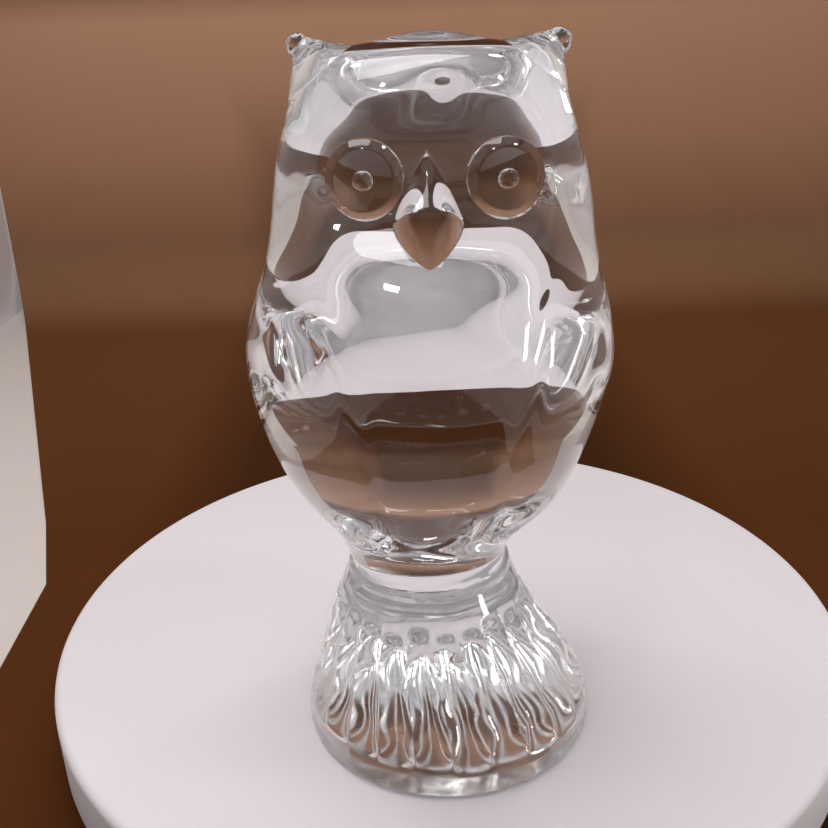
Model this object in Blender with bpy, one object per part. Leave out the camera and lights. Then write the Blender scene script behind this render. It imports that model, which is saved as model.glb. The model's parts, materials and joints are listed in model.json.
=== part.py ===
"""Clear crystal owl on a fluted foot.

One solid glass owl (head and torso in one gather), ground flat at the waist and bonded to a heavy fluted foot, with
applied ear tips, eye discs, pupil beads and a beak. Metres, +Z up, the owl faces -Y, the origin is the middle of the
foot's flat underside. Sections are worked out in millimetres and scaled once, when a mesh is made.
"""

import math

import bmesh
import bpy
import numpy as np
from mathutils import Vector

for old in list(bpy.data.objects):
    bpy.data.objects.remove(old, do_unlink=True)

MM = 0.001
GAP = 0.3  # space kept between pieces that touch

# ---------------------------------------------------------------- driving dimensions, mm
WAIST_Z = 28.6  # the ground flat underneath the owl
HEAD_TOP_Z = 104.7  # top of the crown, between the ears

# the owl's outline seen from the front: height, half width, and how far its middle stands off the foot's axis
OUTLINE = (
    (28.6, 11.9, -2.5),
    (32.0, 12.6, -2.8),
    (36.5, 15.1, -2.3),
    (42.0, 19.6, -1.8),
    (48.0, 22.6, -1.9),
    (55.0, 24.8, -1.8),
    (61.0, 26.0, -1.6),
    (67.0, 25.6, -1.5),
    (73.0, 23.7, -1.2),
    (79.0, 22.0, -0.9),
    (84.5, 21.2, -0.8),
    (90.0, 20.0, -0.9),
    (95.0, 18.5, -0.9),
    (98.8, 17.1, -0.8),
    (101.5, 14.8, -0.8),
    (102.9, 11.6, -0.8),
    (103.5, 8.2, -0.7),
    (104.3, 3.8, -0.6),
)
# depth of a section as a share of its half width: height, front, back
DEPTH = (
    (28.6, 1.000, 1.000),
    (36.0, 1.030, 1.100),
    (44.0, 0.949, 1.085),
    (52.0, 0.974, 0.979),
    (60.0, 0.996, 0.800),
    (68.0, 1.026, 0.770),
    (76.0, 0.976, 0.900),
    (82.0, 0.852, 0.949),
    (88.0, 0.800, 0.891),
    (94.0, 0.830, 0.797),
    (99.0, 0.800, 0.760),
    (104.7, 0.860, 0.850),
)
# how square a section is: height, swell of its front corners and of its back corners
SQUARE = (
    (28.6, 0.0, 0.0),
    (45.0, 0.004, 0.004),
    (62.0, 0.008, 0.0),
    (70.0, 0.016, -0.012),
    (78.0, 0.036, 0.006),
    (88.0, 0.040, 0.030),
    (98.0, 0.040, 0.030),
    (104.7, 0.010, 0.0),
)

EYE_DISC_R = 4.7
EYE_DISC_T = 2.3
EYE_BEVEL = 1.1  # width of the bevel round the disc
EYE_GROOVE = 0.3  # clear ring between the disc and the wall of its seat
EYES = (  # name, x, z, yaw away from the middle in degrees
    ("left", -9.0, 88.5, -6.0),
    ("right", 7.8, 88.2, 6.0),
)
PUPIL_R = 1.25
PUPIL_H = 0.85
BEAK_X = -1.6
BEAK_TOP_Z = 91.5
BEAK_WIDE_Z = 83.2
BEAK_TIP_Z = 77.6
BEAK_HALF = 4.2
BEAK_PROUD = 6.6  # how far its ridge point stands off its seat
BEAK_PITCH = 22.0  # the face slopes forward here, down to the chest
BEAK_WALL = 2.2  # thickness at its edge
BEAK_GROOVE = 0.3
EAR_LEAN = 39.0  # the ear's root plane faces up and outwards, degrees off vertical
EAR_ROOT_DEPTH = 1.9  # how much of the head's corner the root plane takes
EARS = (  # name, side, middle of the end bead, its radius
    ("left", -1, (-17.3, -0.5, 103.5), 1.5),
    ("right", 1, (16.0, -0.5, 103.0), 1.7),
)
SEAT_COVER = 0.1  # least depth of a seat under the surface around it

FOOT_Z = 27.6  # top of the foot's neck
# the foot's outline: height, radius; and the sideways lean of its middle
FOOT_OUTLINE = (
    (27.6, 12.5),
    (25.0, 13.6),
    (22.0, 14.9),
    (18.0, 16.6),
    (13.0, 18.9),
    (8.0, 21.3),
    (4.5, 22.6),
    (2.0, 23.0),
    (0.7, 22.7),
    (0.0, 22.0),
)
FOOT_LEAN = -2.5
FLUTES = 24
FLUTE_DEPTH = 1.35
FLUTE_TOP_Z = 24.0
FLUTE_FOOT_Z = 4.2
BOND_T = 0.4


# ---------------------------------------------------------------- curves
def spline(t, v):
    """Natural cubic spline through (t, v), as a function of t."""
    t, v = np.asarray(t, float), np.asarray(v, float)
    n = len(t)
    h, slope = np.diff(t), np.diff(v) / np.diff(t)
    m = np.eye(n)
    rhs = np.zeros(n)
    for i in range(1, n - 1):
        m[i, i - 1 : i + 2] = h[i - 1], 2 * (h[i - 1] + h[i]), h[i]
        rhs[i] = 6 * (slope[i] - slope[i - 1])
    c = np.linalg.solve(m, rhs)

    def at(x):
        x = np.asarray(x, float)
        i = np.clip(np.searchsorted(t, x) - 1, 0, n - 2)
        a, b = t[i + 1] - x, x - t[i]
        return (
            (c[i] * a**3 + c[i + 1] * b**3) / (6 * h[i])
            + (v[i] / h[i] - c[i] * h[i] / 6) * a
            + (v[i + 1] / h[i] - c[i + 1] * h[i] / 6) * b
        )

    return at


def step(x, lo, hi):
    t = np.clip((x - lo) / (hi - lo), 0, 1)
    return t * t * t * (t * (6 * t - 15) + 10)


def bump(x, z, cx, cz, wx, wz):
    return np.exp(-(((x - cx) / wx) ** 2) - ((z - cz) / wz) ** 2)


def owl_curves():
    """The outline as curves of arc length; mirrored past the crown so that the crown is level."""
    z, w, off = (np.array(column) for column in zip(*OUTLINE))
    z = np.concatenate([z, [HEAD_TOP_Z], z[::-1][:6]])
    w = np.concatenate([w, [0.0], -w[::-1][:6]])
    t = np.concatenate([[0], np.cumsum(np.hypot(np.diff(z), np.diff(w)))])
    top = t[len(OUTLINE)]
    return spline(t, z), spline(t, w), spline(*zip(*[(r[0], r[2]) for r in OUTLINE])), top


def owl_surface(rows, columns):
    """Rings of points from the waist up; the last ring is the crown, all of it one point."""
    height, half, middle, top = owl_curves()
    front = spline([r[0] for r in DEPTH], [r[1] for r in DEPTH])
    back = spline([r[0] for r in DEPTH], [r[2] for r in DEPTH])
    square = spline([r[0] for r in SQUARE], [r[1] for r in SQUARE])
    square_back = spline([r[0] for r in SQUARE], [r[2] for r in SQUARE])
    t = np.linspace(0, top, rows)[:, None]
    phi = np.linspace(0, 2 * math.pi, columns, endpoint=False)[None, :]
    z, a = height(t), half(t)
    a[-1] = 0
    zc = np.minimum(z, HEAD_TOP_Z)
    f, b = front(zc), back(zc)
    deep = (f + b) / 2 + (b - f) / 2 * np.sin(phi)
    swell = 1 + np.where(np.sin(phi) < 0, square(zc), square_back(zc)) * (1 - np.cos(4 * phi))
    x = middle(np.minimum(z, 104.3)) + a * swell * np.cos(phi)
    y = a * deep * swell * np.sin(phi)
    z = z + 0 * phi
    facing = step(-np.sin(phi), 0.15, 0.75) + 0 * z
    y = y - facing * relief(x, z)
    return np.stack([x, y, z], axis=-1)


def relief(x, z):
    """Height of the front's relief: brows, the face set back between them and the chest, and the wings' front edges."""
    h = 0.65 * bump(x, z, -7.0, 98.6, 4.2, 3.0) + 0.65 * bump(x, z, 7.0, 98.0, 3.4, 3.0)
    across = np.abs(x + 1.0)
    h = h - 2.58 * np.exp(-(((z - 86.5) / 5.2) ** 2)) * (1 - step(across, 7.5, 17.0))
    h = h + 0.94 * np.exp(-(((z - 75.8) / 5.9) ** 2)) * (1 - step(across, 7.0, 19.0))
    edge = 10.0 + 0.19 * (z - 58.0)
    wing = np.exp(-(((across - edge) / 1.5) ** 2)) * step(z, 42.0, 54.0) * (1 - step(z, 70.0, 80.0))
    return h - 0.35 * wing


# ---------------------------------------------------------------- meshes
def solid(name, verts, faces, material, smooth_angle=35.0):
    mesh = bpy.data.meshes.new(name)
    mesh.from_pydata([tuple(v) for v in np.asarray(verts) * MM], [], faces)
    mesh.validate()
    obj = bpy.data.objects.new(name, mesh)
    bpy.context.scene.collection.objects.link(obj)
    mesh.materials.append(material)
    mesh.shade_smooth()
    mesh.set_sharp_from_angle(angle=math.radians(smooth_angle))
    return obj


def rings_to_solid(rings, close_top_point=False):
    """Verts and faces of stacked rings, bottom first, closed with flat caps or with a point at the top."""
    rows, columns = rings.shape[:2]
    body = rings[:-1] if close_top_point else rings
    verts = body.reshape(-1, 3)
    faces = []
    for r in range(len(body) - 1):
        for c in range(columns):
            d = (c + 1) % columns
            faces.append((r * columns + c, r * columns + d, (r + 1) * columns + d, (r + 1) * columns + c))
    low = len(verts)
    verts = np.vstack([verts, rings[0].mean(axis=0), rings[-1].mean(axis=0)])
    last = (len(body) - 1) * columns
    for c in range(columns):
        d = (c + 1) % columns
        faces.append((d, c, low))
        faces.append((last + c, last + d, low + 1))
    return verts, faces


def foot_rings(columns_per_flute, heights):
    """Rings of the fluted foot from its underside up. Ridges fall on the mesh's own lines."""
    z, r = (np.array(column)[::-1] for column in zip(*FOOT_OUTLINE))
    radius = spline(z, r)
    columns = FLUTES * columns_per_flute
    phi = np.linspace(0, 2 * math.pi, columns, endpoint=False)[None, :]
    z = np.asarray(heights, float)[:, None]
    share = (phi * FLUTES / (2 * math.pi)) % 1.0
    hollow = 1 - (2 * share - 1) ** 2
    number = np.floor(phi * FLUTES / (2 * math.pi) + 1e-9)
    top = FLUTE_TOP_Z + 0.5 * np.sin(2.3 * number)
    foot = FLUTE_FOOT_Z + 0.5 * np.sin(3.7 * number + 1.0)
    cut = FLUTE_DEPTH * (1 + 0.22 * np.sin(4.1 * number + 2.0))
    depth = cut * (1 - step(z, top - 4.0, top)) * step(z, foot, foot + 3.5)
    depth = depth * (1 + 0.18 * np.sin(0.9 * z + 1.7 * number))
    rad = radius(z) - depth * hollow
    lean = FOOT_LEAN * step(z, 2.0, 24.0)
    return np.stack([lean + rad * np.cos(phi), rad * np.sin(phi), z + 0 * phi], axis=-1)


def turned(profile, columns):
    """Rings of a turned piece about its own +Z: profile is (radius, height) from the bottom up."""
    phi = np.linspace(0, 2 * math.pi, columns, endpoint=False)[None, :]
    p = np.asarray(profile, float)
    return np.stack([p[:, :1] * np.cos(phi), p[:, :1] * np.sin(phi), p[:, 1:] + 0 * phi], axis=-1)


def face_frame(x, z, yaw, reach, surface, pitch=0.0):
    """Axes (side, up, out) of a piece set in the face, and its seat: a plane just under the surface all round."""
    a, b = math.radians(yaw), math.radians(pitch)
    out = np.array([math.sin(a) * math.cos(b), -math.cos(a) * math.cos(b), math.sin(b)])
    side = np.array([math.cos(a), math.sin(a), 0.0])
    axes = np.array([side, np.cross(out, side), out])
    points = surface.reshape(-1, 3)
    points = points[points[:, 1] < 0]
    nearest = points[np.argmin(np.hypot(points[:, 0] - x, points[:, 2] - z))]
    middle = np.array([x, nearest[1], z])
    local = (points - middle) @ axes.T
    near = np.hypot(local[:, 0] / reach[0], (local[:, 1] - reach[2]) / reach[1]) < 1
    return axes, middle + out * (local[near, 2].min() - SEAT_COVER)


def placed(rings, frame, lift=0.0):
    axes, seat = frame
    return rings @ axes + seat + lift * axes[2]


def disc_profile():
    """Back edge, side, bevelled rim and a faintly crowned top."""
    r, t, w = EYE_DISC_R, EYE_DISC_T, EYE_BEVEL
    bevel = [(r - w * s, t - 0.85 * w * (1 - s) ** 1.25) for s in (0.0, 0.35, 0.7, 1.0)]
    crown = [(q, t + 0.12 * (1 - (q / (r - w)) ** 2)) for q in (2.9, 2.1, PUPIL_R)]
    return [(r, 0.0)] + bevel + crown


def pupil_profile():
    return [(PUPIL_R * math.cos(a), PUPIL_H * math.sin(a)) for a in np.linspace(0, 1.45, 6)]


def kite(columns, grow=0.0):
    """The beak's outline about the middle of its widest line: a kite with rounded corners."""
    phi = np.linspace(0, 2 * math.pi, columns, endpoint=False)
    c, s = np.cos(phi), np.sin(phi)
    power = 2 / np.where(s > 0, 1.15, 1.4)
    tall = np.where(s > 0, BEAK_TOP_Z - BEAK_WIDE_Z, BEAK_WIDE_Z - BEAK_TIP_Z) + grow
    return np.stack([(BEAK_HALF + grow) * np.sign(c) * np.abs(c) ** power, tall * np.sign(s) * np.abs(s) ** power], -1)


def beak_rings(columns, steps):
    """Rings from the flat back to a short ridge that lies across the beak at its widest line."""
    edge = kite(columns)
    rings = [np.column_stack([edge, np.zeros(columns)])]
    peak = edge * [0.6, 0.0] + [0.0, 0.3]
    for k in steps:
        share = math.cos(k * math.pi / 2)
        flat = peak + (edge - peak) * share
        rise = BEAK_WALL + (BEAK_PROUD - BEAK_WALL) * (1 - share**1.2)
        rings.append(np.column_stack([flat, np.full(columns, rise)]))
    return np.array(rings)


def ear_plane(side, surface):
    a = math.radians(EAR_LEAN)
    out = np.array([side * math.sin(a), 0.0, math.cos(a)])
    return out, out * ((surface.reshape(-1, 3) @ out).max() - EAR_ROOT_DEPTH)


def cut_ear(obj, out, point):
    """Takes the corner off the head at the ear's root and returns the outline of the flat that it leaves."""
    bm = bmesh.new()
    bm.from_mesh(obj.data)
    cut = bmesh.ops.bisect_plane(
        bm,
        geom=bm.verts[:] + bm.edges[:] + bm.faces[:],
        dist=1e-7,
        plane_co=Vector(point * MM),
        plane_no=Vector(out),
        clear_outer=True,
    )
    edges = [e for e in cut["geom_cut"] if isinstance(e, bmesh.types.BMEdge)]
    bmesh.ops.holes_fill(bm, edges=edges)
    face = max((f for f in bm.faces if abs(f.normal.dot(Vector(out))) > 0.9999), key=lambda f: f.calc_area())
    loop = np.array([v.co[:] for v in face.verts]) / MM
    bm.to_mesh(obj.data)
    bm.free()
    return loop


def ear_rings(loop, out, bead, radius, rows):
    """From the root's outline up to a rounded end bead, leaving the head along its own slope."""
    root = loop.mean(axis=0)
    lean = np.asarray(bead) - root
    axis = lean / np.linalg.norm(lean)
    rings = []
    inward = root - loop
    inward /= np.linalg.norm(inward, axis=1, keepdims=True)
    flat = -inward - np.outer(-inward @ axis, axis)
    flat /= np.linalg.norm(flat, axis=1, keepdims=True)
    end = np.asarray(bead) + radius * flat
    leave = (0.63 * inward + 0.777 * out) * 4.4
    arrive = axis * 2.2
    for t in np.linspace(0, 1, rows):
        h0, h1 = 2 * t**3 - 3 * t**2 + 1, -2 * t**3 + 3 * t**2
        h2, h3 = t**3 - 2 * t**2 + t, t**3 - t**2
        rings.append(h0 * loop + h1 * end + h2 * leave + h3 * arrive)
    for a in np.linspace(0, math.pi / 2, 6)[1:]:
        rings.append(np.asarray(bead) + radius * (math.cos(a) * flat + math.sin(a) * axis))
    return np.array(rings)


# ---------------------------------------------------------------- build
def glass(name, colour, roughness, ior, transmission):
    material = bpy.data.materials.new(name)
    material.use_nodes = True
    shader = material.node_tree.nodes["Principled BSDF"]
    shader.inputs["Base Color"].default_value = (*colour, 1.0)
    shader.inputs["Roughness"].default_value = roughness
    shader.inputs["Metallic"].default_value = 0.0
    shader.inputs["IOR"].default_value = ior
    shader.inputs["Transmission Weight"].default_value = transmission
    return material


def seat_cutter(name, rings, frame, target):
    """A hidden prism that leaves a flat-bottomed seat in the target."""
    verts, faces = rings_to_solid(placed(rings, frame))
    cutter = solid(name, verts, faces, bpy.data.materials[0])
    cutter.hide_render = True
    cutter.display_type = "WIRE"
    modifier = target.modifiers.new(name, "BOOLEAN")
    modifier.operation = "DIFFERENCE"
    modifier.solver = "EXACT"
    modifier.object = cutter


def main():
    clear = glass("clear_crystal", (0.97, 0.98, 0.98), 0.02, 1.545, 1.0)
    foot_glass = glass("cut_crystal", (0.96, 0.975, 0.98), 0.03, 1.545, 1.0)
    applied = glass("applied_crystal", (0.96, 0.97, 0.97), 0.03, 1.545, 1.0)
    adhesive = glass("clear_adhesive", (0.93, 0.93, 0.91), 0.25, 1.5, 0.9)

    surface = owl_surface(54, 56)
    fine = owl_surface(160, 240)
    body = solid("owl_body", *rings_to_solid(surface, close_top_point=True), clear)

    for name, side, bead, radius in EARS:
        out, point = ear_plane(side, fine)
        loop = cut_ear(body, out, point)
        rings = ear_rings(loop + GAP * out, out, bead, radius, 6)
        solid("ear_tuft_" + name, *rings_to_solid(rings, close_top_point=True), applied)

    wall = EYE_DISC_R + EYE_GROOVE
    for name, x, z, yaw in EYES:
        frame = face_frame(x, z, yaw, (wall, wall, 0.0), fine)
        seat_cutter("seat_eye_" + name, turned([(wall, 0.0), (wall, 9.0)], 32), frame, body)
        disc = turned(disc_profile(), 32)
        solid("eye_disc_" + name, *rings_to_solid(placed(disc, frame, GAP)), applied)
        pupil = turned(pupil_profile(), 16)
        lift = EYE_DISC_T + 0.12 + 2 * GAP
        solid("pupil_" + name, *rings_to_solid(placed(pupil, frame, lift)), applied)

    half_tall = (BEAK_TOP_Z - BEAK_TIP_Z) / 2 + BEAK_GROOVE
    reach = (BEAK_HALF + BEAK_GROOVE, half_tall, (BEAK_TOP_Z + BEAK_TIP_Z) / 2 - BEAK_WIDE_Z)
    frame = face_frame(BEAK_X, BEAK_WIDE_Z, 0.0, reach, fine, BEAK_PITCH)
    edge = kite(28, BEAK_GROOVE)
    prism = np.array([np.column_stack([edge, np.full(28, h)]) for h in (0.0, 9.0)])
    seat_cutter("seat_beak", prism, frame, body)
    beak = beak_rings(28, (0.0, 0.22, 0.42, 0.6, 0.76, 0.9))
    solid("beak", *rings_to_solid(placed(beak, frame, GAP)), applied)

    heights = (0.0, 0.25, 0.7, 2.0, 4.2, 6.0, 8.5, 11.5, 14.5, 17.5, 19.5, 21.5, 22.8, 24.0, 26.0, FOOT_Z)
    solid("fluted_base", *rings_to_solid(foot_rings(6, heights)), foot_glass)

    low = FOOT_Z + GAP
    bond = turned([(11.2, low), (11.4, low + BOND_T / 2), (11.2, low + BOND_T)], 40)
    bond[..., 0] += FOOT_LEAN
    solid("base_bond", *rings_to_solid(bond), adhesive)


main()
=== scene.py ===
"""Looks of the crystal owl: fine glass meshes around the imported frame, with its stage, lights and camera.

The owl's surfaces are the same functions as in the CAD, drawn much finer, so every piece stays where the frame says.
Where two pieces are fused or glued, their shared face has a clear material, so light passes from one into the other
without bending, as it does in the real glass.
"""

import json
import math
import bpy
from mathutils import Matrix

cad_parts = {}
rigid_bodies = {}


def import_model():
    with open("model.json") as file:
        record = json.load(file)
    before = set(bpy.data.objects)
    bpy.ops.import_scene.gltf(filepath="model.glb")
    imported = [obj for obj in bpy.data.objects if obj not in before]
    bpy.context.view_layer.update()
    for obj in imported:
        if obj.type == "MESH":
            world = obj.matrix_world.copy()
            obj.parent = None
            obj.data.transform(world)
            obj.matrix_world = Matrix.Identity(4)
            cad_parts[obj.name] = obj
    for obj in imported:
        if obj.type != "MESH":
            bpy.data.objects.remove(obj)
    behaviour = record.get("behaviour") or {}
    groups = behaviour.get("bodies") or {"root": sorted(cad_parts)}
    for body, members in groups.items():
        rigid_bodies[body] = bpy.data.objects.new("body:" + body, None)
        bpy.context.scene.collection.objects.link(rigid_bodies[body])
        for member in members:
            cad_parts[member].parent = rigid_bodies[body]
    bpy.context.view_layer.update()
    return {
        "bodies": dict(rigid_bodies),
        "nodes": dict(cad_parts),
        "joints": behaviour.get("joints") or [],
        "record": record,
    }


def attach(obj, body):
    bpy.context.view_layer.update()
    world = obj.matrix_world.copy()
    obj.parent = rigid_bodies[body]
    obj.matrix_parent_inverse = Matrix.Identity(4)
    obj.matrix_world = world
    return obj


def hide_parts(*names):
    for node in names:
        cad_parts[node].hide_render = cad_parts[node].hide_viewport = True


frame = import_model()

import bmesh
import bpy
import numpy as np
from mathutils import Matrix, Vector

MM = 0.001
GAP = 0.3

# ---------------------------------------------------------------- driving dimensions, mm
WAIST_Z = 28.6  # the ground flat underneath the owl
HEAD_TOP_Z = 104.7  # top of the crown, between the ears

# the owl's outline seen from the front: height, half width, and how far its middle stands off the foot's axis
OUTLINE = (
    (28.6, 11.9, -2.5),
    (32.0, 12.6, -2.8),
    (36.5, 15.1, -2.3),
    (42.0, 19.6, -1.8),
    (48.0, 22.6, -1.9),
    (55.0, 24.8, -1.8),
    (61.0, 26.0, -1.6),
    (67.0, 25.6, -1.5),
    (73.0, 23.7, -1.2),
    (79.0, 22.0, -0.9),
    (84.5, 21.2, -0.8),
    (90.0, 20.0, -0.9),
    (95.0, 18.5, -0.9),
    (98.8, 17.1, -0.8),
    (101.5, 14.8, -0.8),
    (102.9, 11.6, -0.8),
    (103.5, 8.2, -0.7),
    (104.3, 3.8, -0.6),
)
# depth of a section as a share of its half width: height, front, back
DEPTH = (
    (28.6, 1.000, 1.000),
    (36.0, 1.030, 1.100),
    (44.0, 0.949, 1.085),
    (52.0, 0.974, 0.979),
    (60.0, 0.996, 0.800),
    (68.0, 1.026, 0.770),
    (76.0, 0.976, 0.900),
    (82.0, 0.852, 0.949),
    (88.0, 0.800, 0.891),
    (94.0, 0.830, 0.797),
    (99.0, 0.800, 0.760),
    (104.7, 0.860, 0.850),
)
# how square a section is: height, swell of its front corners and of its back corners
SQUARE = (
    (28.6, 0.0, 0.0),
    (45.0, 0.004, 0.004),
    (62.0, 0.008, 0.0),
    (70.0, 0.016, -0.012),
    (78.0, 0.036, 0.006),
    (88.0, 0.040, 0.030),
    (98.0, 0.040, 0.030),
    (104.7, 0.010, 0.0),
)

EYE_DISC_R = 4.7
EYE_DISC_T = 2.3
EYE_BEVEL = 1.1  # width of the bevel round the disc
EYE_GROOVE = 0.3  # clear ring between the disc and the wall of its seat
EYES = (  # name, x, z, yaw away from the middle in degrees
    ("left", -9.0, 88.5, -6.0),
    ("right", 7.8, 88.2, 6.0),
)
PUPIL_R = 1.25
PUPIL_H = 0.85
BEAK_X = -1.6
BEAK_TOP_Z = 91.5
BEAK_WIDE_Z = 83.2
BEAK_TIP_Z = 77.6
BEAK_HALF = 4.2
BEAK_PROUD = 6.6  # how far its ridge point stands off its seat
BEAK_PITCH = 22.0  # the face slopes forward here, down to the chest
BEAK_WALL = 2.2  # thickness at its edge
BEAK_GROOVE = 0.3
EAR_LEAN = 39.0  # the ear's root plane faces up and outwards, degrees off vertical
EAR_ROOT_DEPTH = 1.9  # how much of the head's corner the root plane takes
EARS = (  # name, side, middle of the end bead, its radius
    ("left", -1, (-17.3, -0.5, 103.5), 1.5),
    ("right", 1, (16.0, -0.5, 103.0), 1.7),
)
SEAT_COVER = 0.1  # least depth of a seat under the surface around it

FOOT_Z = 27.6  # top of the foot's neck
# the foot's outline: height, radius; and the sideways lean of its middle
FOOT_OUTLINE = (
    (27.6, 12.5),
    (25.0, 13.6),
    (22.0, 14.9),
    (18.0, 16.6),
    (13.0, 18.9),
    (8.0, 21.3),
    (4.5, 22.6),
    (2.0, 23.0),
    (0.7, 22.7),
    (0.0, 22.0),
)
FOOT_LEAN = -2.5
FLUTES = 24
FLUTE_DEPTH = 1.35
FLUTE_TOP_Z = 24.0
FLUTE_FOOT_Z = 4.2
BOND_T = 0.4


# ---------------------------------------------------------------- curves
def spline(t, v):
    """Natural cubic spline through (t, v), as a function of t."""
    t, v = np.asarray(t, float), np.asarray(v, float)
    n = len(t)
    h, slope = np.diff(t), np.diff(v) / np.diff(t)
    m = np.eye(n)
    rhs = np.zeros(n)
    for i in range(1, n - 1):
        m[i, i - 1 : i + 2] = h[i - 1], 2 * (h[i - 1] + h[i]), h[i]
        rhs[i] = 6 * (slope[i] - slope[i - 1])
    c = np.linalg.solve(m, rhs)

    def at(x):
        x = np.asarray(x, float)
        i = np.clip(np.searchsorted(t, x) - 1, 0, n - 2)
        a, b = t[i + 1] - x, x - t[i]
        return (
            (c[i] * a**3 + c[i + 1] * b**3) / (6 * h[i])
            + (v[i] / h[i] - c[i] * h[i] / 6) * a
            + (v[i + 1] / h[i] - c[i + 1] * h[i] / 6) * b
        )

    return at


def step(x, lo, hi):
    t = np.clip((x - lo) / (hi - lo), 0, 1)
    return t * t * t * (t * (6 * t - 15) + 10)


def bump(x, z, cx, cz, wx, wz):
    return np.exp(-(((x - cx) / wx) ** 2) - ((z - cz) / wz) ** 2)


def owl_curves():
    """The outline as curves of arc length; mirrored past the crown so that the crown is level."""
    z, w, off = (np.array(column) for column in zip(*OUTLINE))
    z = np.concatenate([z, [HEAD_TOP_Z], z[::-1][:6]])
    w = np.concatenate([w, [0.0], -w[::-1][:6]])
    t = np.concatenate([[0], np.cumsum(np.hypot(np.diff(z), np.diff(w)))])
    top = t[len(OUTLINE)]
    return spline(t, z), spline(t, w), spline(*zip(*[(r[0], r[2]) for r in OUTLINE])), top


def owl_surface(rows, columns):
    """Rings of points from the waist up; the last ring is the crown, all of it one point."""
    height, half, middle, top = owl_curves()
    front = spline([r[0] for r in DEPTH], [r[1] for r in DEPTH])
    back = spline([r[0] for r in DEPTH], [r[2] for r in DEPTH])
    square = spline([r[0] for r in SQUARE], [r[1] for r in SQUARE])
    square_back = spline([r[0] for r in SQUARE], [r[2] for r in SQUARE])
    t = np.linspace(0, top, rows)[:, None]
    phi = np.linspace(0, 2 * math.pi, columns, endpoint=False)[None, :]
    z, a = height(t), half(t)
    a[-1] = 0
    zc = np.minimum(z, HEAD_TOP_Z)
    f, b = front(zc), back(zc)
    deep = (f + b) / 2 + (b - f) / 2 * np.sin(phi)
    swell = 1 + np.where(np.sin(phi) < 0, square(zc), square_back(zc)) * (1 - np.cos(4 * phi))
    x = middle(np.minimum(z, 104.3)) + a * swell * np.cos(phi)
    y = a * deep * swell * np.sin(phi)
    z = z + 0 * phi
    facing = step(-np.sin(phi), 0.15, 0.75) + 0 * z
    y = y - facing * relief(x, z)
    return np.stack([x, y, z], axis=-1)


def relief(x, z):
    """Height of the front's relief: brows, the face set back between them and the chest, and the wings' front edges."""
    h = 0.65 * bump(x, z, -7.0, 98.6, 4.2, 3.0) + 0.65 * bump(x, z, 7.0, 98.0, 3.4, 3.0)
    across = np.abs(x + 1.0)
    h = h - 2.58 * np.exp(-(((z - 86.5) / 5.2) ** 2)) * (1 - step(across, 7.5, 17.0))
    h = h + 0.94 * np.exp(-(((z - 75.8) / 5.9) ** 2)) * (1 - step(across, 7.0, 19.0))
    edge = 10.0 + 0.19 * (z - 58.0)
    wing = np.exp(-(((across - edge) / 1.5) ** 2)) * step(z, 42.0, 54.0) * (1 - step(z, 70.0, 80.0))
    return h - 0.35 * wing


# ---------------------------------------------------------------- meshes
def solid(name, verts, faces, material, smooth_angle=35.0):
    mesh = bpy.data.meshes.new(name)
    mesh.from_pydata([tuple(v) for v in np.asarray(verts) * MM], [], faces)
    mesh.validate()
    obj = bpy.data.objects.new(name, mesh)
    bpy.context.scene.collection.objects.link(obj)
    mesh.materials.append(material)
    mesh.shade_smooth()
    mesh.set_sharp_from_angle(angle=math.radians(smooth_angle))
    return obj


def rings_to_solid(rings, close_top_point=False):
    """Verts and faces of stacked rings, bottom first, closed with flat caps or with a point at the top."""
    rows, columns = rings.shape[:2]
    body = rings[:-1] if close_top_point else rings
    verts = body.reshape(-1, 3)
    faces = []
    for r in range(len(body) - 1):
        for c in range(columns):
            d = (c + 1) % columns
            faces.append((r * columns + c, r * columns + d, (r + 1) * columns + d, (r + 1) * columns + c))
    low = len(verts)
    verts = np.vstack([verts, rings[0].mean(axis=0), rings[-1].mean(axis=0)])
    last = (len(body) - 1) * columns
    for c in range(columns):
        d = (c + 1) % columns
        faces.append((d, c, low))
        faces.append((last + c, last + d, low + 1))
    return verts, faces


def foot_rings(columns_per_flute, heights):
    """Rings of the fluted foot from its underside up. Ridges fall on the mesh's own lines."""
    z, r = (np.array(column)[::-1] for column in zip(*FOOT_OUTLINE))
    radius = spline(z, r)
    columns = FLUTES * columns_per_flute
    phi = np.linspace(0, 2 * math.pi, columns, endpoint=False)[None, :]
    z = np.asarray(heights, float)[:, None]
    share = (phi * FLUTES / (2 * math.pi)) % 1.0
    hollow = 1 - (2 * share - 1) ** 2
    number = np.floor(phi * FLUTES / (2 * math.pi) + 1e-9)
    top = FLUTE_TOP_Z + 0.5 * np.sin(2.3 * number)
    foot = FLUTE_FOOT_Z + 0.5 * np.sin(3.7 * number + 1.0)
    cut = FLUTE_DEPTH * (1 + 0.22 * np.sin(4.1 * number + 2.0))
    depth = cut * (1 - step(z, top - 4.0, top)) * step(z, foot, foot + 3.5)
    depth = depth * (1 + 0.18 * np.sin(0.9 * z + 1.7 * number))
    rad = radius(z) - depth * hollow
    lean = FOOT_LEAN * step(z, 2.0, 24.0)
    return np.stack([lean + rad * np.cos(phi), rad * np.sin(phi), z + 0 * phi], axis=-1)


def turned(profile, columns):
    """Rings of a turned piece about its own +Z: profile is (radius, height) from the bottom up."""
    phi = np.linspace(0, 2 * math.pi, columns, endpoint=False)[None, :]
    p = np.asarray(profile, float)
    return np.stack([p[:, :1] * np.cos(phi), p[:, :1] * np.sin(phi), p[:, 1:] + 0 * phi], axis=-1)


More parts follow.
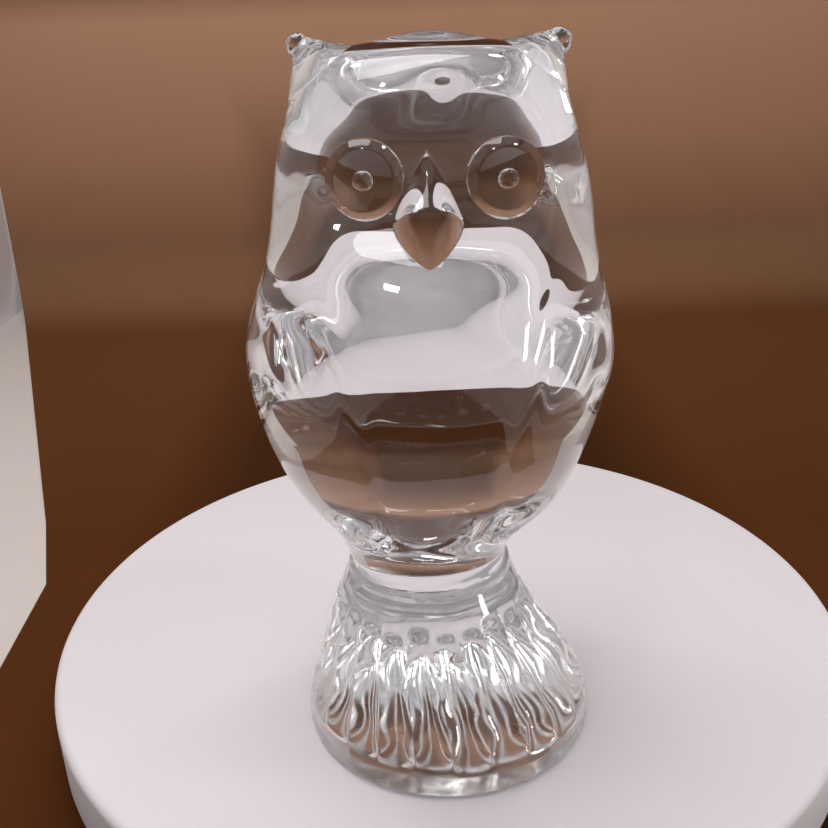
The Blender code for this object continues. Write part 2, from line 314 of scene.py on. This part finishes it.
def face_frame(x, z, yaw, reach, surface, pitch=0.0):
    """Axes (side, up, out) of a piece set in the face, and its seat: a plane just under the surface all round."""
    a, b = math.radians(yaw), math.radians(pitch)
    out = np.array([math.sin(a) * math.cos(b), -math.cos(a) * math.cos(b), math.sin(b)])
    side = np.array([math.cos(a), math.sin(a), 0.0])
    axes = np.array([side, np.cross(out, side), out])
    points = surface.reshape(-1, 3)
    points = points[points[:, 1] < 0]
    nearest = points[np.argmin(np.hypot(points[:, 0] - x, points[:, 2] - z))]
    middle = np.array([x, nearest[1], z])
    local = (points - middle) @ axes.T
    near = np.hypot(local[:, 0] / reach[0], (local[:, 1] - reach[2]) / reach[1]) < 1
    return axes, middle + out * (local[near, 2].min() - SEAT_COVER)


def placed(rings, frame, lift=0.0):
    axes, seat = frame
    return rings @ axes + seat + lift * axes[2]


def disc_profile():
    """Back edge, side, bevelled rim and a faintly crowned top."""
    r, t, w = EYE_DISC_R, EYE_DISC_T, EYE_BEVEL
    bevel = [(r - w * s, t - 0.85 * w * (1 - s) ** 1.25) for s in (0.0, 0.35, 0.7, 1.0)]
    crown = [(q, t + 0.12 * (1 - (q / (r - w)) ** 2)) for q in (2.9, 2.1, PUPIL_R)]
    return [(r, 0.0)] + bevel + crown


def pupil_profile():
    return [(PUPIL_R * math.cos(a), PUPIL_H * math.sin(a)) for a in np.linspace(0, 1.45, 6)]


def kite(columns, grow=0.0):
    """The beak's outline about the middle of its widest line: a kite with rounded corners."""
    phi = np.linspace(0, 2 * math.pi, columns, endpoint=False)
    c, s = np.cos(phi), np.sin(phi)
    power = 2 / np.where(s > 0, 1.15, 1.4)
    tall = np.where(s > 0, BEAK_TOP_Z - BEAK_WIDE_Z, BEAK_WIDE_Z - BEAK_TIP_Z) + grow
    return np.stack([(BEAK_HALF + grow) * np.sign(c) * np.abs(c) ** power, tall * np.sign(s) * np.abs(s) ** power], -1)


def beak_rings(columns, steps):
    """Rings from the flat back to a short ridge that lies across the beak at its widest line."""
    edge = kite(columns)
    rings = [np.column_stack([edge, np.zeros(columns)])]
    peak = edge * [0.6, 0.0] + [0.0, 0.3]
    for k in steps:
        share = math.cos(k * math.pi / 2)
        flat = peak + (edge - peak) * share
        rise = BEAK_WALL + (BEAK_PROUD - BEAK_WALL) * (1 - share**1.2)
        rings.append(np.column_stack([flat, np.full(columns, rise)]))
    return np.array(rings)


def ear_plane(side, surface):
    a = math.radians(EAR_LEAN)
    out = np.array([side * math.sin(a), 0.0, math.cos(a)])
    return out, out * ((surface.reshape(-1, 3) @ out).max() - EAR_ROOT_DEPTH)


def cut_ear(obj, out, point):
    """Takes the corner off the head at the ear's root and returns the outline of the flat that it leaves."""
    bm = bmesh.new()
    bm.from_mesh(obj.data)
    cut = bmesh.ops.bisect_plane(
        bm,
        geom=bm.verts[:] + bm.edges[:] + bm.faces[:],
        dist=1e-7,
        plane_co=Vector(point * MM),
        plane_no=Vector(out),
        clear_outer=True,
    )
    edges = [e for e in cut["geom_cut"] if isinstance(e, bmesh.types.BMEdge)]
    bmesh.ops.holes_fill(bm, edges=edges)
    face = max((f for f in bm.faces if abs(f.normal.dot(Vector(out))) > 0.9999), key=lambda f: f.calc_area())
    loop = np.array([v.co[:] for v in face.verts]) / MM
    bm.to_mesh(obj.data)
    bm.free()
    return loop


def ear_rings(loop, out, bead, radius, rows):
    """From the root's outline up to a rounded end bead, leaving the head along its own slope."""
    root = loop.mean(axis=0)
    lean = np.asarray(bead) - root
    axis = lean / np.linalg.norm(lean)
    rings = []
    inward = root - loop
    inward /= np.linalg.norm(inward, axis=1, keepdims=True)
    flat = -inward - np.outer(-inward @ axis, axis)
    flat /= np.linalg.norm(flat, axis=1, keepdims=True)
    end = np.asarray(bead) + radius * flat
    leave = (0.63 * inward + 0.777 * out) * 4.4
    arrive = axis * 2.2
    for t in np.linspace(0, 1, rows):
        h0, h1 = 2 * t**3 - 3 * t**2 + 1, -2 * t**3 + 3 * t**2
        h2, h3 = t**3 - 2 * t**2 + t, t**3 - t**2
        rings.append(h0 * loop + h1 * end + h2 * leave + h3 * arrive)
    for a in np.linspace(0, math.pi / 2, 6)[1:]:
        rings.append(np.asarray(bead) + radius * (math.cos(a) * flat + math.sin(a) * axis))
    return np.array(rings)


# ---------------------------------------------------------------- looks: constants
GROOVE = 0.14  # fine line left round an applied piece
FOOT_TOP = 28.2  # the foot's neck runs up to the bond here
COLUMNS = 360
ROWS = 230


def srgb(r, g, b):
    return tuple((c / 255 / 12.92) if c <= 10 else ((c / 255 + 0.055) / 1.055) ** 2.4 for c in (r, g, b))


# ---------------------------------------------------------------- materials
def tree(name):
    material = bpy.data.materials.new(name)
    material.use_nodes = True
    nodes, links = material.node_tree.nodes, material.node_tree.links
    return material, nodes, links, nodes["Principled BSDF"]


def noise(nodes, links, coord, scale, detail=2.0, rough=0.5, distortion=0.0):
    node = nodes.new("ShaderNodeTexNoise")
    node.inputs["Scale"].default_value = scale
    node.inputs["Detail"].default_value = detail
    node.inputs["Roughness"].default_value = rough
    node.inputs["Distortion"].default_value = distortion
    links.new(coord, node.inputs["Vector"])
    return node.outputs["Fac"]


def ramp(nodes, links, value, lo, hi, a, b):
    """value mapped from lo..hi to a..b."""
    node = nodes.new("ShaderNodeMapRange")
    node.inputs["From Min"].default_value = lo
    node.inputs["From Max"].default_value = hi
    node.inputs["To Min"].default_value = a
    node.inputs["To Max"].default_value = b
    links.new(value, node.inputs["Value"])
    return node.outputs["Result"]


def tint(nodes, links, value, a, b, target):
    node = nodes.new("ShaderNodeMix")
    node.data_type = "RGBA"
    links.new(value, node.inputs[0])
    node.inputs[6].default_value = (*a, 1)
    node.inputs[7].default_value = (*b, 1)
    links.new(node.outputs[2], target)


def bump_node(nodes, links, height, strength, distance, normal=None):
    node = nodes.new("ShaderNodeBump")
    node.inputs["Strength"].default_value = strength
    node.inputs["Distance"].default_value = distance
    links.new(height, node.inputs["Height"])
    if normal is not None:
        links.new(normal, node.inputs["Normal"])
    return node.outputs["Normal"]


def crystal(name, tone, deep, ripple, haze, ior=1.545):
    """Colourless crystal: slow ripples of the fire polish, faint smears, and a trace of tone from place to place."""
    material, nodes, links, shader = tree(name)
    coord = nodes.new("ShaderNodeTexCoord").outputs["Object"]
    shader.inputs["Transmission Weight"].default_value = 1.0
    shader.inputs["IOR"].default_value = ior
    shader.inputs["Metallic"].default_value = 0.0
    tint(nodes, links, noise(nodes, links, coord, 45.0), tone, deep, shader.inputs["Base Color"])
    smear = noise(nodes, links, coord, 160.0, 3.0, 0.6, 0.8)
    links.new(ramp(nodes, links, smear, 0.58, 0.80, 0.0, haze), shader.inputs["Roughness"])
    slow = noise(nodes, links, coord, 110.0, 1.0, 0.4)
    links.new(bump_node(nodes, links, slow, ripple, 0.0008), shader.inputs["Normal"])
    return material


def ground_face(name):
    """The foot's underside, ground flat: grey and scratched."""
    material, nodes, links, shader = tree(name)
    coord = nodes.new("ShaderNodeTexCoord").outputs["Object"]
    shader.inputs["Transmission Weight"].default_value = 1.0
    shader.inputs["IOR"].default_value = 1.545
    tint(nodes, links, noise(nodes, links, coord, 260.0, 5.0), (0.96, 0.96, 0.97), (0.88, 0.89, 0.91), shader.inputs["Base Color"])
    links.new(ramp(nodes, links, noise(nodes, links, coord, 420.0, 3.0), 0.3, 0.7, 0.05, 0.16), shader.inputs["Roughness"])
    return material


def adhesive(name):
    """The bond at the waist: cloudy, with small bubbles."""
    material, nodes, links, shader = tree(name)
    coord = nodes.new("ShaderNodeTexCoord").outputs["Object"]
    shader.inputs["Transmission Weight"].default_value = 1.0
    shader.inputs["IOR"].default_value = 1.5
    cells = nodes.new("ShaderNodeTexVoronoi")
    cells.inputs["Scale"].default_value = 900.0
    links.new(coord, cells.inputs["Vector"])
    tint(nodes, links, noise(nodes, links, coord, 500.0, 4.0), (0.93, 0.93, 0.92), (0.82, 0.81, 0.79), shader.inputs["Base Color"])
    links.new(ramp(nodes, links, noise(nodes, links, coord, 700.0, 3.0), 0.4, 0.7, 0.05, 0.5), shader.inputs["Roughness"])
    links.new(bump_node(nodes, links, cells.outputs["Distance"], 0.5, 0.0002), shader.inputs["Normal"])
    return material


def joined(name):
    """A face shared by two fused pieces: light goes straight through."""
    material, nodes, links, shader = tree(name)
    nodes.remove(shader)
    clear = nodes.new("ShaderNodeBsdfTransparent")
    links.new(clear.outputs[0], nodes["Material Output"].inputs["Surface"])
    return material


def matt(name, a, b, scale, roughness=0.6):
    material, nodes, links, shader = tree(name)
    coord = nodes.new("ShaderNodeTexCoord").outputs["Object"]
    tint(nodes, links, noise(nodes, links, coord, scale, 3.0), a, b, shader.inputs["Base Color"])
    shader.inputs["Roughness"].default_value = roughness
    return material


BODY_GLASS = crystal("clear_crystal_fine", (0.985, 0.99, 0.99), (0.96, 0.97, 0.972), 0.12, 0.035)
FOOT_GLASS = crystal("cut_crystal_fine", (0.98, 0.985, 0.988), (0.95, 0.96, 0.965), 0.45, 0.04)
APPLIED_GLASS = crystal("applied_crystal_fine", (0.98, 0.985, 0.985), (0.95, 0.96, 0.96), 0.10, 0.03)
GROUND_GLASS = ground_face("ground_underside")
BOND_GLASS = adhesive("clear_adhesive_fine")
JOINED = joined("joined_face")


# ---------------------------------------------------------------- meshes
def make(name, verts, faces, materials, picks=None, smooth_angle=35.0):
    """An object from millimetre points; picks gives each face's material index."""
    mesh = bpy.data.meshes.new(name)
    mesh.from_pydata((np.asarray(verts) * MM).tolist(), [], [tuple(f) for f in faces])
    for material in materials:
        mesh.materials.append(material)
    if picks is not None:
        mesh.polygons.foreach_set("material_index", np.asarray(picks, np.int32))
    mesh.shade_smooth()
    mesh.set_sharp_from_angle(angle=math.radians(smooth_angle))
    obj = bpy.data.objects.new(name, mesh)
    bpy.context.scene.collection.objects.link(obj)
    return obj


def capped(rings, low_joint=None, high_joint=None, point_top=False):
    """Rings closed at both ends. A joint is a ring in the cap's plane: the cap inside it is a shared face."""
    stack = [r for r in rings]
    columns = len(rings[0])
    low_shared = low_joint is not None
    high_shared = high_joint is not None
    if low_shared and low_joint is not True:
        stack.insert(0, low_joint)
    if high_shared and high_joint is not True:
        stack.append(high_joint)
    if point_top:
        stack = stack[:-1]
    verts = np.concatenate(stack)
    index = np.arange(len(verts)).reshape(len(stack), columns)
    a, b = index[:-1], index[1:]
    sides = np.stack([a, np.roll(a, -1, 1), np.roll(b, -1, 1), b], -1).reshape(-1, 4).tolist()
    low, high = len(verts), len(verts) + 1
    verts = np.vstack([verts, stack[0].mean(0), rings[-1].mean(0) if point_top else stack[-1].mean(0)])
    first, last = index[0], index[-1]
    bottom = np.stack([np.roll(first, -1), first, np.full(columns, low)], -1).tolist()
    top = np.stack([last, np.roll(last, -1), np.full(columns, high)], -1).tolist()
    picks = [0] * len(sides) + [1 if low_shared else 0] * columns + [1 if high_shared else 0] * columns
    return verts, sides + bottom + top, picks


def waves(p, amount):
    """Slow unevenness of hand-worked glass, the same every time: a few long waves in set directions."""
    total = np.zeros(p.shape[:-1])
    for k in range(9):
        a, b = 2.4 * k + 0.7, 1.3 * k + 0.4
        d = np.array([math.cos(a) * math.cos(b), math.sin(a) * math.cos(b), math.sin(b)])
        total += np.sin(p @ d * (2 * math.pi / (9.0 + 1.7 * k)) + 1.9 * k)
    return amount * total / 3.0


def cutter(name, inner, outer):
    """A prism cut out of the head for an applied piece: its floor is shared glass inside, a bare ring outside."""
    tall = outer + np.array([0, 0, 9.0])
    verts, faces, picks = capped(np.array([outer, tall]), low_joint=inner)
    return verts, faces, picks


def carve(target, tools):
    """Cuts each tool out of the target and keeps the tools' two materials on the new faces."""
    for tool in tools:
        modifier = target.modifiers.new(tool.name, "BOOLEAN")
        modifier.operation = "DIFFERENCE"
        modifier.solver = "EXACT"
        modifier.material_mode = "TRANSFER"
        modifier.object = tool
    depsgraph = bpy.context.evaluated_depsgraph_get()
    mesh = bpy.data.meshes.new_from_object(target.evaluated_get(depsgraph))
    target.modifiers.clear()
    target.data = mesh
    for tool in tools:
        bpy.data.objects.remove(tool, do_unlink=True)
    mesh.shade_smooth()
    mesh.set_sharp_from_angle(angle=math.radians(35))


def flat_ring(points2d, height):
    return np.column_stack([points2d, np.full(len(points2d), height)])


def ragged(columns, radius, amount, height, shift):
    """The bond's uneven edge."""
    phi = np.linspace(0, 2 * math.pi, columns, endpoint=False)
    r = radius + amount * (
        0.5 * np.sin(5 * phi + 0.6) + 0.35 * np.sin(11 * phi + 2.1) + 0.25 * np.sin(19 * phi + 4.0) + 0.2 * np.sin(31 * phi)
    )
    return np.stack([shift + r * np.cos(phi), r * np.sin(phi), np.full(columns, height)], -1)


def build_owl():
    surface = owl_surface(ROWS, COLUMNS)
    out = surface - np.array([-1.5, 0.0, 0.0]) * np.ones_like(surface)
    flat = out[..., :2] / (np.linalg.norm(out[..., :2], axis=-1, keepdims=True) + 1e-6)
    fade = step(surface[..., 2], 29.0, 33.0) * (1 - step(surface[..., 2], 98.0, 103.0))
    surface[..., :2] += flat * (waves(surface, 0.035) * fade)[..., None]

    joint = ragged(COLUMNS, 10.9, 0.45, WAIST_Z, OUTLINE[0][2])
    verts, faces, picks = capped(surface, low_joint=joint, point_top=True)
    body = make("owl_body_glass", verts, faces, [BODY_GLASS, JOINED], picks)

    ears = []
    for name, side, bead, radius in EARS:
        out, point = ear_plane(side, surface)
        loop = cut_ear(body, out, point)
        for polygon in body.data.polygons:
            n = polygon.normal
            if n.x * out[0] + n.z * out[2] > 0.99999 and polygon.area > 5e-6:
                polygon.material_index = 1
        rings = ear_rings(loop, out, bead, radius, 40)
        verts, faces, picks = capped(rings, low_joint=True, point_top=True)
        ears.append(make("ear_tuft_%s_glass" % name, verts, faces, [APPLIED_GLASS, JOINED], picks))

    tools, pieces = [], []
    turn = 128
    for name, x, z, yaw in EYES:
        wall = EYE_DISC_R + EYE_GROOVE
        seat = face_frame(x, z, yaw, (wall, wall, 0.0), surface)
        ring = turned([(EYE_DISC_R, 0.0), (EYE_DISC_R + GROOVE, 0.0)], turn)
        verts, faces, picks = cutter("seat_" + name, ring[0], ring[1])
        tools.append(make("seat_" + name, placed(verts, seat), faces, [BODY_GLASS, JOINED], picks))
        disc = placed(turned(fine_disc_profile(), turn), seat)
        verts, faces, picks = capped(disc, low_joint=True, high_joint=True)
        pieces.append(make("eye_disc_%s_glass" % name, verts, faces, [APPLIED_GLASS, JOINED], picks))
        pupil = placed(turned(fine_pupil_profile(), turn), seat, crown(PUPIL_R))
        verts, faces, picks = capped(pupil, low_joint=True, point_top=False)
        pieces.append(make("pupil_%s_glass" % name, verts, faces, [APPLIED_GLASS, JOINED], picks))

    half_tall = (BEAK_TOP_Z - BEAK_TIP_Z) / 2 + BEAK_GROOVE
    reach = (BEAK_HALF + BEAK_GROOVE, half_tall, (BEAK_TOP_Z + BEAK_TIP_Z) / 2 - BEAK_WIDE_Z)
    seat = face_frame(BEAK_X, BEAK_WIDE_Z, 0.0, reach, surface, BEAK_PITCH)
    verts, faces, picks = cutter("seat_beak", flat_ring(kite(turn), 0.0), flat_ring(kite(turn, GROOVE), 0.0))
    tools.append(make("seat_beak", placed(verts, seat), faces, [BODY_GLASS, JOINED], picks))
    beak = placed(beak_rings(turn, tuple(np.linspace(0.0, 0.97, 24))), seat)
    verts, faces, picks = capped(beak, low_joint=True)
    pieces.append(make("beak_glass", verts, faces, [APPLIED_GLASS, JOINED], picks))
    carve(body, tools)

    heights = np.unique(np.round(np.concatenate([np.linspace(0, 2, 14), np.linspace(2, 26, 90), np.linspace(26, FOOT_Z, 6)]), 4))
    rings = foot_rings(COLUMNS // FLUTES, heights)
    rings[-1, :, 2] = FOOT_TOP
    joint = ragged(COLUMNS, 10.9, 0.45, FOOT_TOP, OUTLINE[0][2])
    verts, faces, picks = capped(rings, high_joint=joint)
    under = len(faces) - 2 * COLUMNS
    picks[under : under + COLUMNS] = [2] * COLUMNS
    foot = make("fluted_base_glass", verts, faces, [FOOT_GLASS, JOINED, GROUND_GLASS], picks, 60.0)
    edge = np.array([ragged(COLUMNS, 10.9 + dr, 0.45, h, OUTLINE[0][2]) for h, dr in ((FOOT_TOP, 0), (28.3, 0.06), (28.5, 0.06), (WAIST_Z, 0))])
    verts, faces, picks = capped(edge, low_joint=True, high_joint=True)
    bond = make("base_bond_film", verts, faces, [BOND_GLASS, JOINED], picks)
    return body, ears, pieces, foot, bond


def crown(q):
    return EYE_DISC_T + 0.12 * (1 - (q / (EYE_DISC_R - EYE_BEVEL)) ** 2)


def fine_disc_profile():
    r, t, w = EYE_DISC_R, EYE_DISC_T, EYE_BEVEL
    bevel = [(r - w * s, t - 0.85 * w * (1 - s) ** 1.25) for s in np.linspace(0, 1, 22)]
    top = [(q, crown(q)) for q in np.linspace(r - w, PUPIL_R, 20)[1:]]
    return [(r, 0.0), (r, 0.4 * t)] + bevel + top


def fine_pupil_profile():
    return [(PUPIL_R * math.cos(a), PUPIL_H * math.sin(a)) for a in np.linspace(0, 1.53, 24)]


body, ears, pieces, foot, bond = build_owl()
STANDS_FOR = {
    body: ("owl_body", "clear_crystal"),
    foot: ("fluted_base", "cut_crystal"),
    bond: ("base_bond", "clear_adhesive"),
}
for piece in [*ears, *pieces]:
    STANDS_FOR[piece] = (piece.name[: -len("_glass")], "applied_crystal")
for piece, (node, slot_name) in STANDS_FOR.items():
    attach(piece, "root")
    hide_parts(node)


# ---------------------------------------------------------------- stage
def plate(name, radius, z, cx, cy, edge, material):
    """A round pale floor with a softly rounded rim."""
    profile = [(radius - edge + edge * math.sin(a), z - edge + edge * math.cos(a)) for a in np.linspace(0, math.pi / 2, 10)]
    profile += [(radius, z - 11.0)]
    rings = turned(profile[::-1], 256)
    rings[..., 0] += cx
    rings[..., 1] += cy
    verts, faces, picks = capped(rings)
    return make(name, verts, faces, [material])


PALE = matt("pale_floor", srgb(218, 212, 215), srgb(212, 206, 209), 12.0, 0.6)


def backdrop_material(name):
    """Warm brown board with painted shading: pale at the top of the upright part, dark on the part that lies flat near
    the figure.
    """
    material, nodes, links, shader = tree(name)
    coord = nodes.new("ShaderNodeTexCoord").outputs["Object"]
    split = nodes.new("ShaderNodeSeparateXYZ")
    links.new(coord, split.inputs[0])
    # painted shading: the brown is made darker or paler by its place on the board, from Y and Z
    along = ramp(nodes, links, split.outputs["Y"], 0.08, 0.29, 0.0, 0.5)
    rise = ramp(nodes, links, split.outputs["Z"], -0.012, 0.14, 0.0, 0.5)
    total = nodes.new("ShaderNodeMath")
    links.new(along, total.inputs[0])
    links.new(rise, total.inputs[1])
    painted_shading_ramp = nodes.new("ShaderNodeValToRGB")
    painted_shading_stops = ((0.0, (82, 45, 19)), (0.42, (104, 66, 38)), (0.54, (132, 96, 70)), (0.74, (172, 129, 101)), (0.90, (184, 141, 113)), (0.96, (120, 86, 64)), (1.0, (92, 62, 44)))
    band = painted_shading_ramp.color_ramp.elements
    band[0].position, band[0].color = painted_shading_stops[0][0], (*srgb(*painted_shading_stops[0][1]), 1)
    band[1].position, band[1].color = painted_shading_stops[-1][0], (*srgb(*painted_shading_stops[-1][1]), 1)
    for place, colour in painted_shading_stops[1:-1]:
        band.new(place).color = (*srgb(*colour), 1)
    links.new(total.outputs[0], painted_shading_ramp.inputs[0])
    # painted shadow of the figure: the middle of the board, mostly hidden by the figure, is painted darker than the
    # rest
    aside = nodes.new("ShaderNodeMath")
    aside.operation = "ABSOLUTE"
    links.new(split.outputs["X"], aside.inputs[0])
    outer = ramp(nodes, links, aside.outputs[0], 0.050, 0.080, 0.50, 1.0)
    upper = ramp(nodes, links, split.outputs["Z"], 0.030, 0.085, 0.50, 1.0)
    painted_shadow_factor = nodes.new("ShaderNodeMath")
    painted_shadow_factor.operation = "MAXIMUM"
    links.new(outer, painted_shadow_factor.inputs[0])
    links.new(upper, painted_shadow_factor.inputs[1])
    middle = painted_shadow_factor.outputs[0]
    grain = noise(nodes, links, coord, 40.0, 4.0)
    shade = nodes.new("ShaderNodeMix")
    shade.data_type = "RGBA"
    shade.inputs[6].default_value = (0.93, 0.93, 0.93, 1)
    shade.inputs[7].default_value = (1, 1, 1, 1)
    links.new(grain, shade.inputs[0])
    tone = nodes.new("ShaderNodeMix")
    tone.data_type = "RGBA"
    tone.blend_type = "MULTIPLY"
    tone.inputs[0].default_value = 1.0
    links.new(painted_shading_ramp.outputs["Color"], tone.inputs[6])
    links.new(shade.outputs[2], tone.inputs[7])
    # the board's colour is scaled down by the painted shadow of the figure
    painted_shadow_scale = nodes.new("ShaderNodeVectorMath")
    painted_shadow_scale.operation = "SCALE"
    links.new(tone.outputs[2], painted_shadow_scale.inputs[0])
    links.new(middle, painted_shadow_scale.inputs["Scale"])
    links.new(painted_shadow_scale.outputs[0], shader.inputs["Base Color"])
    shader.inputs["Roughness"].default_value = 0.9
    shader.inputs["Specular IOR Level"].default_value = 0.05
    return material


def sheet(name, left, right, near, far, low, high, curve, material):
    """A sheet that lies behind the figure and turns up into a wall."""
    line = [(y, low) for y in np.linspace(near, far - curve, 24)]
    line += [(far - curve + curve * math.sin(a), low + curve - curve * math.cos(a)) for a in np.linspace(0, math.pi / 2, 16)[1:]]
    line += [(far, h) for h in np.linspace(low + curve, high, 14)[1:]]
    line = np.array(line)
    # the part that lies flat is cut narrower towards the figure
    first = np.interp(line[:, 0], [0.0, 64.0, far], [-88.0, -91.0, left])[:, None]
    last = np.minimum(np.interp(line[:, 0], [0.0, far], [66.0, 196.0]), right)[:, None]
    last = np.where(line[:, 1:] > low + 0.5, right, last)
    along = first + (last - first) * np.linspace(0, 1, 60)
    grid = np.stack([along, line[:, :1] + 0 * along, line[:, 1:] + 0 * along], -1)
    index = np.arange(grid.shape[0] * grid.shape[1]).reshape(grid.shape[:2])
    faces = np.stack([index[:-1, :-1], index[:-1, 1:], index[1:, 1:], index[1:, :-1]], -1).reshape(-1, 4)
    return make(name, grid.reshape(-1, 3), faces.tolist(), [material], None, 80.0)


def panel(name, x, near, far, low, high, material):
    """A white panel that stands at one side."""
    y, z = np.meshgrid(np.linspace(near, far, 20), np.linspace(low, high, 12))
    bow = 1.5 * np.sin((y - near) / (far - near) * math.pi) * math.copysign(1.0, x)
    grid = np.stack([x + bow, y, z], -1)
    index = np.arange(grid.shape[0] * grid.shape[1]).reshape(grid.shape[:2])
    faces = np.stack([index[:-1, :-1], index[:-1, 1:], index[1:, 1:], index[1:, :-1]], -1).reshape(-1, 4)
    return make(name, grid.reshape(-1, 3), faces.tolist(), [material], None, 80.0)


floor = plate("pale_floor", 73.0, -0.03, 0.9, 27.8, 1.6, PALE)
board = sheet("backdrop", -184.0, 206.0, -420.0, 300.0, -12.0, 330.0, 30.0, backdrop_material("brown_board"))
WHITE = matt("white_panel", srgb(226, 220, 221), srgb(220, 214, 215), 5.0, 0.9)
panels = [panel("side_panel_left", -184.5, -50.0, 300.0, -11.8, 330.0, WHITE), panel("side_panel_right", 206.5, -50.0, 300.0, -11.8, 330.0, WHITE)]
ground = plate("ground", 1200.0, -12.3, 0.0, 0.0, 2.0, matt("pale_ground", srgb(205, 196, 190), srgb(198, 188, 182), 6.0, 0.8))

# ---------------------------------------------------------------- light and camera
world = bpy.data.worlds.new("soft_room")
bpy.context.scene.world = world
world.use_nodes = True
air, joins = world.node_tree.nodes, world.node_tree.links
sky = air["Background"]
toward = air.new("ShaderNodeTexCoord").outputs["Generated"]
split = air.new("ShaderNodeSeparateXYZ")
joins.new(toward, split.inputs[0])
# the room is dimmer behind the camera, with soft windows and furniture round about it
near_side = ramp(air, joins, split.outputs["Y"], -0.9, -0.4, 0.6, 1.0)
patches = ramp(air, joins, noise(air, joins, toward, 2.6, 1.0, 0.4), 0.44, 0.56, 0.62, 1.22)
level = air.new("ShaderNodeMath")
level.operation = "MULTIPLY"
joins.new(near_side, level.inputs[0])
joins.new(patches, level.inputs[1])
gain = air.new("ShaderNodeMath")
gain.operation = "MULTIPLY"
gain.inputs[1].default_value = 0.74
joins.new(level.outputs[0], gain.inputs[0])
joins.new(gain.outputs[0], sky.inputs["Strength"])
sky.inputs["Color"].default_value = (*srgb(228, 227, 230), 1)


def softbox(name, place, target, width, height, power, colour=(1, 1, 1)):
    light = bpy.data.lights.new(name, "AREA")
    light.shape = "RECTANGLE"
    light.size, light.size_y = width * MM, height * MM
    light.energy = power
    light.color = colour
    obj = bpy.data.objects.new(name, light)
    obj.location = Vector(place) * MM
    obj.rotation_euler = (Vector(target) - Vector(place)).to_track_quat("-Z", "Y").to_euler()
    bpy.context.scene.collection.objects.link(obj)
    return obj


softbox("key_softbox", (-70, 20, 430), (0, 0, 30), 240, 240, 0.96)
for k, (x, y, warm) in enumerate(((-120, 60, 0.96), (95, 110, 0.88), (140, -70, 1.0), (-60, -150, 0.92))):
    softbox("ceiling_light_%d" % k, (x, y, 330), (0, 0, 40), 26, 26, 0.07, (1.0, 0.5 + 0.5 * warm, warm))
softbox("side_window", (400, -175, 45), (0, 0, 60), 55, 100, 0.3, (1.0, 0.98, 0.95))

camera_data = bpy.data.cameras.new("camera")
camera_data.sensor_width = 36.0
camera_data.lens = 950 / 828 * 36
camera_data.clip_start, camera_data.clip_end = 0.005, 20.0
camera = bpy.data.objects.new("camera", camera_data)
bpy.context.scene.collection.objects.link(camera)
camera.matrix_world = (
    Matrix.Translation(Vector((-4.1, -130.2, 105.5)) * MM)
    @ Matrix.Rotation(math.radians(90 - 22.31), 4, "X")
    @ Matrix.Rotation(math.radians(-1.98), 4, "Z")
)
bpy.context.scene.camera = camera

scene = bpy.context.scene
scene.view_settings.view_transform = "Standard"
scene.cycles.max_bounces = 32
scene.cycles.transmission_bounces = 32
scene.cycles.transparent_max_bounces = 48
scene.cycles.glossy_bounces = 12
